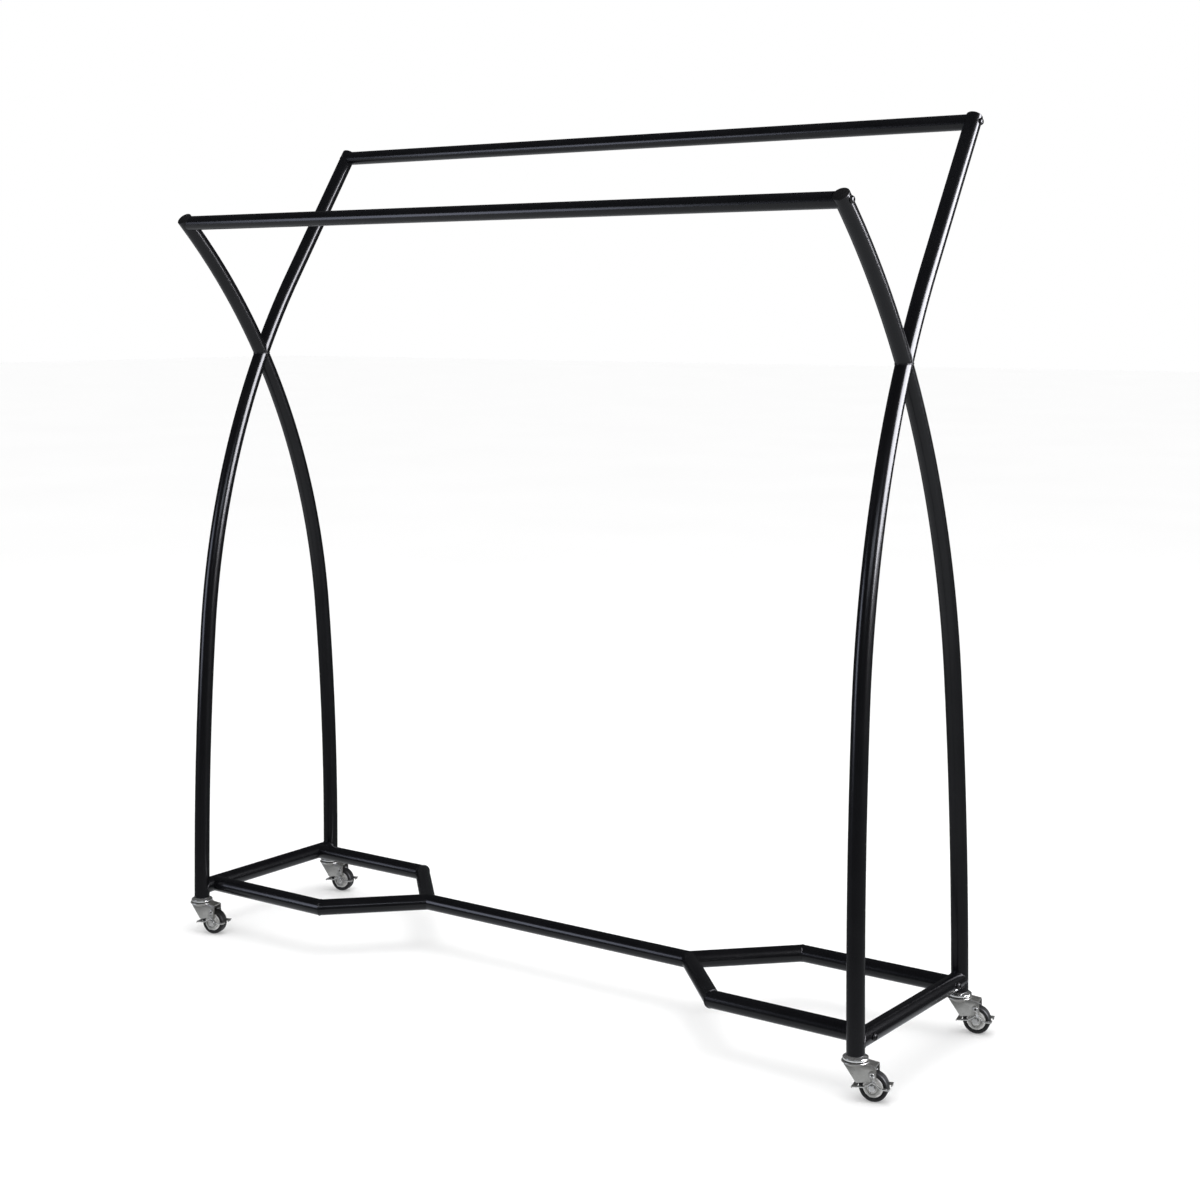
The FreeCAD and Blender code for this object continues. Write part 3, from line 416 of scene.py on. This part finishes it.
def bead(spots, radius=1.3, pitch=2.6):
    """A weld bead round a closed line of spots: a rounded rope whose thickness ripples."""
    length = 0.0
    path = []
    count = len(spots)
    for k, spot in enumerate(spots):
        following = spots[(k + 1) % count]
        along = (following - spots[k - 1]).normalized()
        side = along.orthogonal().normalized()
        path.append((spot, side, along.cross(side), length))
        length += (following - spot).length
    shape = bmesh.new()
    rings = []
    for spot, side, out, reach in path:
        swell = radius * (1 + BEAD_RIPPLE * math.cos(2 * math.pi * reach / pitch))
        rings.append([shape.verts.new(spot + side * a * swell + out * b * swell)
                      for a, b in circle_of(1.0, BEAD_SIDES)])
    for here, there in zip(rings, rings[1:] + rings[:1]):
        turn = min(range(BEAD_SIDES), key=lambda k: (there[k].co - here[0].co).length)
        for k in range(BEAD_SIDES):
            after = (k + 1) % BEAD_SIDES
            shape.faces.new((here[k], there[(k + turn) % BEAD_SIDES],
                             there[(after + turn) % BEAD_SIDES], here[after]))
    bmesh.ops.recalc_face_normals(shape, faces=shape.faces)
    return shape


def saddle(spot, heading, wall_centre, wall_heading, count=96):
    """Where a tube that runs from a spot along a heading meets the wall of another tube."""
    side = Vector(wall_heading).cross(heading)
    side = side.normalized() if side.length > 1e-6 else Vector(heading).orthogonal()
    up = Vector(heading).cross(side).normalized()
    axis = Vector(wall_heading).normalized()
    found = []
    for k in range(count):
        turn = 2 * math.pi * k / count
        start = Vector(spot) + (side * math.cos(turn) + up * math.sin(turn)) * LEG_RADIUS
        offset = start - Vector(wall_centre)
        offset -= axis * offset.dot(axis)
        run = Vector(heading) - axis * Vector(heading).dot(axis)
        a, b = run.dot(run), offset.dot(run)
        c = offset.dot(offset) - LEG_RADIUS ** 2
        root = max(b * b - a * c, 0.0)
        found.append(start + Vector(heading) * ((-b - math.sqrt(root)) / a))
    return found


def crossing_of(first, second):
    """The height at which the two legs' axes cross, with both axes' headings there."""
    def at(steps, height):
        for low, high in zip(steps, steps[1:]):
            if low[1] <= height <= high[1]:
                share = (height - low[1]) / (high[1] - low[1])
                return [a + (b - a) * share for a, b in zip(low, high)]
        return steps[-1]
    low, high = CROSSING_RANGE
    for _ in range(40):
        height = (low + high) / 2
        if at(first, height)[0] < at(second, height)[0]:
            low = height
        else:
            high = height
    return at(first, height), at(second, height)


main_here, second_here = crossing_of(LEG_STEPS["main"], LEG_STEPS["second"])
main_way = Vector((0, math.sin(main_here[2]), math.cos(main_here[2])))
second_way = Vector((0, -math.sin(second_here[2]), math.cos(second_here[2])))
for end, x in FRAME_X.items():
    cross = Vector((x, main_here[0], main_here[1]))
    beads = [bead(saddle(cross + way * CROSSING_RUN, -way, cross, main_way))
             for way in (second_way, -second_way)]
    for row, sign in (("front", 1), ("rear", -1)):
        wall = Vector((x, FOOT_Y[row], BASE_HEIGHT))
        start, inward = wall + Vector((0, sign * FOOT_RUN, 0)), Vector((0, -sign, 0))
        beads.append(bead(saddle(start, inward, wall, Vector((0, 0, 1)))))
    piece(end + "_frame_welds", joined(beads), POWDER, "frame", (), 60)


def mitre_ring(spot, along, turn, count=80):
    """The ellipse where a level tube along a heading is cut by an upright plane through a spot."""
    side = Vector((-along.y, along.x, 0))
    normal = Vector((-math.sin(turn), math.cos(turn), 0))
    found = []
    for k in range(count):
        angle = 2 * math.pi * k / count
        start = side * (LEG_RADIUS * math.cos(angle)) + Vector((0, 0, LEG_RADIUS * math.sin(angle)))
        reach = -start.dot(normal) / along.dot(normal)
        found.append(spot + start + along * reach)
    return found


base_beads = []
for x_sign in (-1, 1):
    for y_sign in (-1, 1):
        bend = Vector((ORIGIN_X + x_sign * BEND_X, CENTRE_Y + y_sign * SIDE_Y, BASE_HEIGHT))
        level = Vector((x_sign, 0, 0))
        lean = math.pi / 2 + DIAGONAL_SLOPE / 2
        turn = math.atan2(math.sin(lean) * y_sign, math.cos(lean) * x_sign)
        base_beads.append(bead(mitre_ring(bend, level, turn), radius=0.9))
piece("base_bend_welds", joined(base_beads), POWDER, "frame", (), 60)


# ---------------------------------------------------------------- screws and caps

def hex_prism(width, low, high):
    """A hexagonal bar along Z; width is its size across the flats."""
    corners = circle_of(width / math.sqrt(3), 6)
    return moved(prism(corners, -high, -low), Matrix.Rotation(-math.pi / 2, 4, "X"))


SOCKET_SIZE = 5.0


def button_head():
    """A domed screw head on the plane z = 0 with a hexagon socket, and a stub of shank."""
    profile = [(0, -3), (3.9, -3), (3.9, 0)]
    profile += rounded([(7.0, 0), (7.0, 1.1), (5.2, 3.7), (3.4, 4.4), (0, 4.4)], [0.2, 0.6, 1.4, 0.3, 0], 3)
    head = lathe(profile, 48)
    socket = hex_prism(SOCKET_SIZE, 1.8, 8)
    return drilled(head, [socket])


def pointing(direction):
    """Turn a shape's own Z axis to a direction."""
    return Vector(direction).to_track_quat("Z", "Y").to_matrix().to_4x4()


rail_spots = {"front": (middle("front_rail", 1), RAIL_HEIGHT["front"]),
              "rear": (middle("rear_rail", 1), RAIL_HEIGHT["rear"])}
base_spots = {"front": (CENTRE_Y - SIDE_Y, BASE_HEIGHT), "rear": (CENTRE_Y + SIDE_Y, BASE_HEIGHT)}
for label, spots in (("rail", rail_spots), ("base", base_spots)):
    heads = []
    for end, sign in (("left", -1), ("right", 1)):
        for y, z in spots.values():
            place = Matrix.Translation((FRAME_X[end] + sign * LEG_RADIUS, y, z))
            heads.append(moved(button_head(), place @ pointing((sign, 0, 0))))
    piece(label + "_screws", joined(heads), SCREW, "frame", [label + "_bolts"], 30)

caps = []
for name, steps in LEG_STEPS.items():
    y, z, heading = steps[-1]
    direction = (0, LEG_SIDE[name] * math.sin(heading), math.cos(heading))
    for x in FRAME_X.values():
        dome = rounded([(0, -4), (14, -4), (14, 0), (15.9, 0), (15.75, 1.1), (11, 3.6), (6, 4.8), (0, 5)],
                       [0, 0, 0, 0.2, 1.2, 3, 4, 0], 3)
        caps.append(moved(lathe(dome, 64), Matrix.Translation((x, y, z)) @ pointing(direction)))
piece("leg_tip_domes", joined(caps), PLASTIC, "frame", ["leg_tip_caps"], 40)


# ---------------------------------------------------------------- casters

TRACK, TRACK_RADIUS = (14, 65.3), 2.1          # the ring of balls: its place and its groove
CROWN_RIM, CROWN_INSIDE = 16.5, 19.5          # where the roof dips in under the crown
ROOF_SUNK, ROOF_LEVEL = 63.0, 64.3
FALL_START, ROOF_FALL = 20, 0.157          # where the roof starts to fall, and how steeply
FORK_NOSE, FORK_TAIL = -17.2, 38.5
FORK_HALF = 13.8
FORK_TONGUE = 6.8
FORK_SHEET = 2.0
FORK_RIBS = 28
STEM_ROOM = 8.6
PIVOT_HOLE, AXLE_HOLE, AXLE_WINDOW = 6.5, 6.1, 17.6
DRILL_HALF = 20
LEVER_HALF = 15.6
LEVER_SHEET = 1.5
LEVER_EAR = 6.0
WHEEL_RIBS = 6
ACROSS = Matrix.Rotation(math.pi / 2, 4, "X")


def race():
    """The upper race: an upright rim under a cone, with the ball track underneath."""
    track = around(TRACK, TRACK_RADIUS, (155, 125, 90, 55, 25))
    profile = rounded([(5.1, 66.2), *track, (22, 66.2), (22, 70.0), (16.8, 73.5), (5.1, 73.5)],
                      [0, 0.2, 0, 0, 0, 0.2, 0.8, 0.7, 0.5, 0], 3)
    return lathe(profile, 96)


def crown():
    """The fork's pressed crown: a flat top with the ball track, a rolled rim and a cone below."""
    track = around(TRACK, TRACK_RADIUS, (206, 238, 270, 302, 334))
    profile = rounded([(5.1, 61.4), (5.1, 64.4), *track, (23.9, 64.4), (24.25, 62.2), (14.6, 55.6),
                       (12.6, 56.6), (20.6, 61.6)], [0, 0.2, 0.2, 0, 0, 0, 0.2, 1.0, 1.4, 0.6, 0.6, 1], 4)
    return lathe(profile, 96)


def roof_height(u):
    """Sunk into the crown below its ball track, then level, then falling towards the tail."""
    if u < CROWN_RIM:
        return ROOF_SUNK
    if u < CROWN_INSIDE:
        return ROOF_SUNK + (ROOF_LEVEL - ROOF_SUNK) * (u - CROWN_RIM) / (CROWN_INSIDE - CROWN_RIM)
    return ROOF_LEVEL - max(0.0, u - FALL_START) * ROOF_FALL


def fork_shell():
    """Two raked plates and the roof that joins them, bent from one sheet."""
    bend = 3.0
    lower = [(FORK_TAIL, 40.8), (38.8, 25.0)]
    lower += around((TRAIL, AXLE_HEIGHT), FORK_TONGUE, range(-15, -180, -15))
    lower += [(25.2, 25.0), (25.2, 32.8), (18.0, 32.8), (3.8, 30.3)]
    ends = [(FORK_NOSE, 59.8), (FORK_TAIL, 58.0)]
    radii = [0, 0] + [1.0] * 2 + [0] * 11 + [0.8, 1.6, 5.0, 2.4]
    chain = rounded(ends + lower, radii, 5)[len(ends):]          # the ribs stand in for the ends
    stations = [FORK_TAIL - k * (FORK_TAIL - FORK_NOSE) / FORK_RIBS for k in range(FORK_RIBS + 1)]
    shape = bmesh.new()
    ribs = []
    for u in stations:
        top = roof_height(u)
        rib = []
        for sign in (-1, 1):
            arc = [(sign * (FORK_HALF - bend + bend * math.cos(a)), top - bend + bend * math.sin(a))
                   for a in (math.radians(t) for t in (0, 22.5, 45, 67.5, 90))]
            rib.append(arc if sign < 0 else list(reversed(arc)))
        ribs.append([shape.verts.new((u, y, z)) for y, z in rib[0] + rib[1]])
    for here, there in zip(ribs, ribs[1:]):
        for k in range(len(here) - 1):
            shape.faces.new((here[k], there[k], there[k + 1], here[k + 1]))
    for index, sign in ((0, -1), (-1, 1)):
        under = [shape.verts.new((u, sign * FORK_HALF, z)) for u, z in chain]
        shape.faces.new([rib[index] for rib in reversed(ribs)] + under)
    bmesh.ops.recalc_face_normals(shape, faces=shape.faces)
    if sum(f.normal.z * f.calc_area() for f in shape.faces) < 0:
        bmesh.ops.reverse_faces(shape, faces=shape.faces)
    return shape


def thickened(shape, thickness):
    """Give a sheet its thickness, inwards from its outer face."""
    work = held("sheet", shape)
    change = work.modifiers.new("thickness", "SOLIDIFY")
    change.thickness, change.offset, change.use_even_offset = thickness, -1.0, True
    return worked(work)


def across_rod(z, diameter, steps=40):
    """A rod along the axle's direction, used as a drill."""
    radius = diameter / 2
    shape = lathe([(0, -DRILL_HALF), (radius, -DRILL_HALF), (radius, DRILL_HALF), (0, DRILL_HALF)], steps)
    return moved(shape, Matrix.Translation((TRAIL, 0, z)) @ ACROSS)


def fork():
    """The fork's sheet with its three holes, and the crown."""
    stem_room = lathe([(0, 55), (STEM_ROOM, 55), (STEM_ROOM, 70), (0, 70)], 56)
    shell = drilled(thickened(fork_shell(), FORK_SHEET), [
        stem_room, across_rod(PIVOT_HEIGHT, PIVOT_HOLE), across_rod(AXLE_HEIGHT, AXLE_HOLE)])
    return joined([soften(shell, 0.35, 2, 50), crown()])


# The line of a lever's lips: up from the toe, below the pivot at its fourth point, down along the arm.
RIDGE = [(6, 26.6), (18.4, 27.8), (25.5, 31.8), (32, 37), (39.6, 33.8), (47.5, 27.5), (61.2, 28)]


def lever():
    """The rocking brake lever: two plates with arms and an ear, a toe pedal and turned-in shoes."""
    plate_line = rounded([(-2.6, 22.6), (-2.6, 25.9), (6, 26.6), (18.4, 27.8), (25, 31.4)],
                         [0.8, 0.8, 3, 4, 2])
    ear = around((TRAIL, PIVOT_HEIGHT), LEVER_EAR, range(180, -1, -15))
    plate_line += [(26, 34)] + ear + [(38, 35)]
    plate_line += rounded(RIDGE[4:] + [(61.2, 24), (46.5, 24), (36.8, 10.5), (27.2, 10.5), (17.5, 22.8)],
                          [4, 5, 0.6, 0.6, 2.5, 4, 4, 3])
    shapes = []
    for sign in (-1, 1):
        low, high = sorted((sign * LEVER_HALF, sign * (LEVER_HALF - LEVER_SHEET)))
        side = drilled(prism(plate_line, low, high), [
            across_rod(AXLE_HEIGHT, AXLE_WINDOW, 56), across_rod(PIVOT_HEIGHT, PIVOT_HOLE)])
        shapes.append(soften(side, 0.3, 2, 50))
        low, high = sorted((sign * 6.0, sign * (LEVER_HALF - 0.2)))
        shoe = rounded([(59.6, 24.2), (61.2, 24.2), (61.2, 27.9), (59.6, 27.9)], 0.3, 2)
        shapes.append(soften(prism(shoe, low, high), 0.4, 2, 50))
    pedal = rounded([(5.4, 26.4), (5.4, 24.6), (-1.6, 23.8), (-2.9, 21.5),
                     (-4.5, 21.7), (-3.4, 25.2), (-1.8, 25.8)],
                    [0.2, 0.4, 2, 0.5, 0.5, 1.2, 1.5], 4)
    shapes.append(soften(prism(pedal, -LEVER_HALF, LEVER_HALF), 0.5, 3, 50))
    return joined(shapes)


def lips():
    """The outward lips along the top of both arms."""
    shapes = []
    under = [(u, z - 1.6) for u, z in reversed(RIDGE)]
    lip = rounded(RIDGE + under, [0.4, 4, 5, 3.5, 4, 4, 0.5, 0.5, 4, 4, 3.5, 5, 4, 0.4], 5)
    for sign in (-1, 1):
        low, high = sorted((sign * (LEVER_HALF - 0.6), sign * (LEVER_HALF + 4)))
        shapes.append(soften(prism(lip, low, high), 0.5, 3, 50))
    return joined(shapes)


def eyelets():
    """The two hollow rivets that the lever rocks on."""
    profile = rounded([(2.2, -0.8), (4.0, -0.8), (4.0, 0), (3.2, 0),
                       (3.2, 3.9), (4.5, 3.9), (4.5, 4.7), (2.2, 4.7)],
                      [0.5, 0.4, 0, 0, 0, 0.1, 0.5, 0.6], 3)
    shapes = []
    for sign in (-1, 1):
        ring = moved(lathe(profile, 48), Matrix.Translation((0, 0, 11.8)))
        turn = Matrix.Rotation(-sign * math.pi / 2, 4, "X")
        shapes.append(moved(ring, Matrix.Translation((TRAIL, 0, PIVOT_HEIGHT)) @ turn))
    return joined(shapes)


def at_axle(shape, flip=False):
    turn = Matrix.Rotation(-math.pi / 2, 4, "X") if flip else ACROSS
    return moved(shape, Matrix.Translation((TRAIL, 0, AXLE_HEIGHT)) @ turn)


def chamfered_hexagon(width, low, high):
    """A hexagonal head or nut whose corners are turned off at a slope."""
    bar = hex_prism(width, low, high)
    edge = width / 2
    turned = lathe([(0, low - 1), (edge * 1.2, low - 1), (edge * 1.2, high - 0.9),
                    (edge * 0.93, high), (0, high)], 48)
    return combined(bar, turned, "INTERSECT")


def washer():
    corners = [(3, FORK_HALF), (6.2, FORK_HALF), (6.2, 14.5), (3, 14.5)]
    return lathe(rounded(corners, [0, 0.2, 0.3, 0], 2), 48)


def axle_head():
    return at_axle(joined([chamfered_hexagon(10, 14.4, 17.8), washer()]))


def axle_nut():
    tip = lathe(rounded([(0, 17), (2.9, 17), (2.9, 19.2), (0, 19.4)], [0, 0, 0.5, 0], 3), 40)
    return at_axle(joined([chamfered_hexagon(10, 14.4, 18.8), washer(), tip]), flip=True)


def mirrored_profile(corners, radii):
    return (corners + [(r, -z) for r, z in reversed(corners)], radii + list(reversed(radii)))


def wheel_core():
    """The moulded centre: hub, thin web with six ribs, and a stepped rim."""
    corners, radii = mirrored_profile(
        [(5.05, 11.3), (8.6, 11.3), (9.0, 10.9), (9.5, 4.2), (13.9, 4.2), (14.6, 8.2), (17.6, 8.2)],
        [0.3, 0.4, 0.3, 1.4, 1.4, 0.8, 0.3])
    shapes = [lathe(rounded(corners, radii, 3), 96)]
    for k in range(WHEEL_RIBS):
        rib = prism([(8.8, -6.6), (14.8, -6.4), (14.8, 6.4), (8.8, 6.6)], -0.9, 0.9)
        shapes.append(moved(soften(rib, 0.3, 2, 50), Matrix.Rotation(k * 2 * math.pi / WHEEL_RIBS, 4, "Z")))
    return at_axle(joined(shapes))


def tyre():
    """The tyre: a flat tread with a fine moulding line, round shoulders and stepped walls."""
    corners, radii = mirrored_profile(
        [(17.6, 9.0), (18.6, 9.7), (19.4, 10.0), (21.4, 10.0), (22.2, 9.7), (23.6, 9.2),
         (24.7, 7.6), (24.95, 5.6), (25.0, 0.5), (24.8, 0.3)],
        [0, 0.4, 0.3, 0.3, 0.4, 1.2, 1.6, 2.0, 0.15, 0.1])
    return at_axle(lathe(rounded(corners, radii, 4), 128))


def casters():
    races = []
    for row, y in FOOT_Y.items():
        for end, x in FRAME_X.items():
            name = "%s_%s" % (row, end)
            place = Matrix.Translation((x, y, 0)) @ Matrix.Rotation(TRAIL_TURN, 4, "Z")
            swivel, wheel, brake = name + "_swivel", name + "_wheel", name + "_brake"
            races.append(moved(race(), place))
            for label, shape, look, body, nodes, slot, smooth in (
                    ("fork_pressing", fork(), ZINC, swivel, ["fork"], "bright_zinc", 36),
                    ("axle_screw_head", axle_head(), STEEL, swivel, ["axle_bolt"], "plain_steel", 30),
                    ("axle_lock_nut", axle_nut(), STEEL, swivel, ["axle_nut"], "plain_steel", 30),
                    ("brake_rivets", eyelets(), STEEL, swivel, ["brake_eyelets"], "plain_steel", 36),
                    ("wheel_centre", wheel_core(), WHITE, wheel, ["wheel_core"], "white_plastic", 40),
                    ("rubber_tyre", tyre(), RUBBER, wheel, ["tyre"], "black_rubber", 40),
                    # the lips get the zinc with painted highlight, lighter than the rest of the same
                    # pressing
                    ("brake_lips", lips(), PAINTED_HIGHLIGHT_ZINC, brake, [], "bright_zinc", 36),
                    ("brake_pressing", lever(), ZINC, brake, ["brake_lever"], "bright_zinc", 36)):
                piece("%s_%s" % (name, label), moved(shape, place), look, body,
                      ["%s_%s" % (name, node) for node in nodes], smooth)
    # the races get the zinc with painted highlight
    piece("swivel_races", joined(races), PAINTED_HIGHLIGHT_ZINC, "frame", ["caster_races"], 34)


casters()


# ---------------------------------------------------------------- stage

def area_light(name, place, aim, width, height, power, colour=(1, 1, 1)):
    data = bpy.data.lights.new(name, "AREA")
    data.shape = "RECTANGLE"
    data.size, data.size_y = width, height
    data.energy = power
    data.color = colour
    lamp = bpy.data.objects.new(name, data)
    lamp.location = place
    lamp.rotation_euler = (Vector(aim) - Vector(place)).to_track_quat("-Z", "Y").to_euler()
    bpy.context.scene.collection.objects.link(lamp)
    return lamp


def stage_floor(half):
    mesh = bpy.data.meshes.new("floor")
    corners = [(-half, -half, 0), (half, -half, 0), (half, half, 0), (-half, half, 0)]
    mesh.from_pydata(corners, [], [(0, 1, 2, 3)])
    plane = bpy.data.objects.new("floor", mesh)
    bpy.context.scene.collection.objects.link(plane)
    made, tree, surface = shader("pale floor")
    tone = ramp(tree, noise(tree, 0.8, 2.0), 0.3, 0.7, (0.79, 0.79, 0.79), (0.81, 0.81, 0.81))
    tree.links.new(tone, surface.inputs["Base Color"])
    surface.inputs["Emission Color"].default_value = (1, 1, 1, 1)
    surface.inputs["Emission Strength"].default_value = 0.2
    surface.inputs["Roughness"].default_value = 0.9
    surface.inputs["Specular IOR Level"].default_value = 0.1
    mesh.materials.append(made)
    plane.visible_glossy = False


def studio_world(seen, reflected):
    """A white room for the eye and for soft fill light; reflections see a dim room over a pale floor."""
    world = bpy.data.worlds.new("studio")
    world.use_nodes = True
    tree = world.node_tree
    tree.nodes.clear()
    path = add(tree, "ShaderNodeLightPath")
    white = add(tree, "ShaderNodeBackground", Color=(1, 1, 1, 1), Strength=seen)
    dim = add(tree, "ShaderNodeBackground", Color=(0.93, 0.96, 1, 1))
    heading = add(tree, "ShaderNodeTexCoord")
    split = add(tree, "ShaderNodeSeparateXYZ")
    level = add(tree, "ShaderNodeMapRange", From_Min=-1.0, From_Max=1.0)
    curve = add(tree, "ShaderNodeValToRGB")
    stops = curve.color_ramp.elements
    while len(stops) < len(reflected):
        stops.new(0.5)
    for stop, (rise, strength) in zip(stops, reflected):
        stop.position, stop.color = (rise + 1) / 2, (strength, strength, strength, 1)
    mix = add(tree, "ShaderNodeMixShader")
    out = add(tree, "ShaderNodeOutputWorld")
    tree.links.new(heading.outputs["Generated"], split.inputs["Vector"])
    tree.links.new(split.outputs["Z"], level.inputs["Value"])
    tree.links.new(level.outputs["Result"], curve.inputs["Fac"])
    tree.links.new(curve.outputs["Color"], dim.inputs["Strength"])
    tree.links.new(path.outputs["Is Glossy Ray"], mix.inputs[0])
    tree.links.new(white.outputs[0], mix.inputs[1])
    tree.links.new(dim.outputs[0], mix.inputs[2])
    tree.links.new(mix.outputs[0], out.inputs[0])
    bpy.context.scene.world = world


stage_floor(40)
studio_world(1.0, ((-0.37, 0.75), (-0.29, 0.13), (-0.12, 0.06), (0.05, 0.045)))
rack_middle = (0, 0, 0.9)
# Softboxes that only show as reflections: place, aim, width, height, watts and colour.
SOFTBOXES = {
    "right softbox": ((3.3, 0.9, 1.9), (0, 0, 1.1), 2.8, 1.8, 540, (0.93, 0.93, 1)),
    "front softbox": ((3.2, -4.6, 2.6), rack_middle, 3.0, 0.7, 40, (0.82, 0.87, 1)),
    "left softbox": ((-2.6, -3.2, 1.0), rack_middle, 1.6, 1.6, 42, (0.76, 0.81, 1)),
}
for softbox, settings in SOFTBOXES.items():
    area_light(softbox, *settings).visible_diffuse = False
area_light("overhead", (0.3, -0.3, 4.2), rack_middle, 3, 3, 60).visible_glossy = False

lens = bpy.data.cameras.new("camera")
lens.sensor_width = 36.0
lens.lens = 61.13
lens.shift_y = -0.2413
camera = bpy.data.objects.new("camera", lens)
camera.location = (2.4281, -3.2453, 1.3271)
camera.rotation_euler = (math.radians(90), 0, math.radians(35.765))
bpy.context.scene.collection.objects.link(camera)
bpy.context.scene.camera = camera
bpy.context.scene.view_settings.view_transform = "Standard"
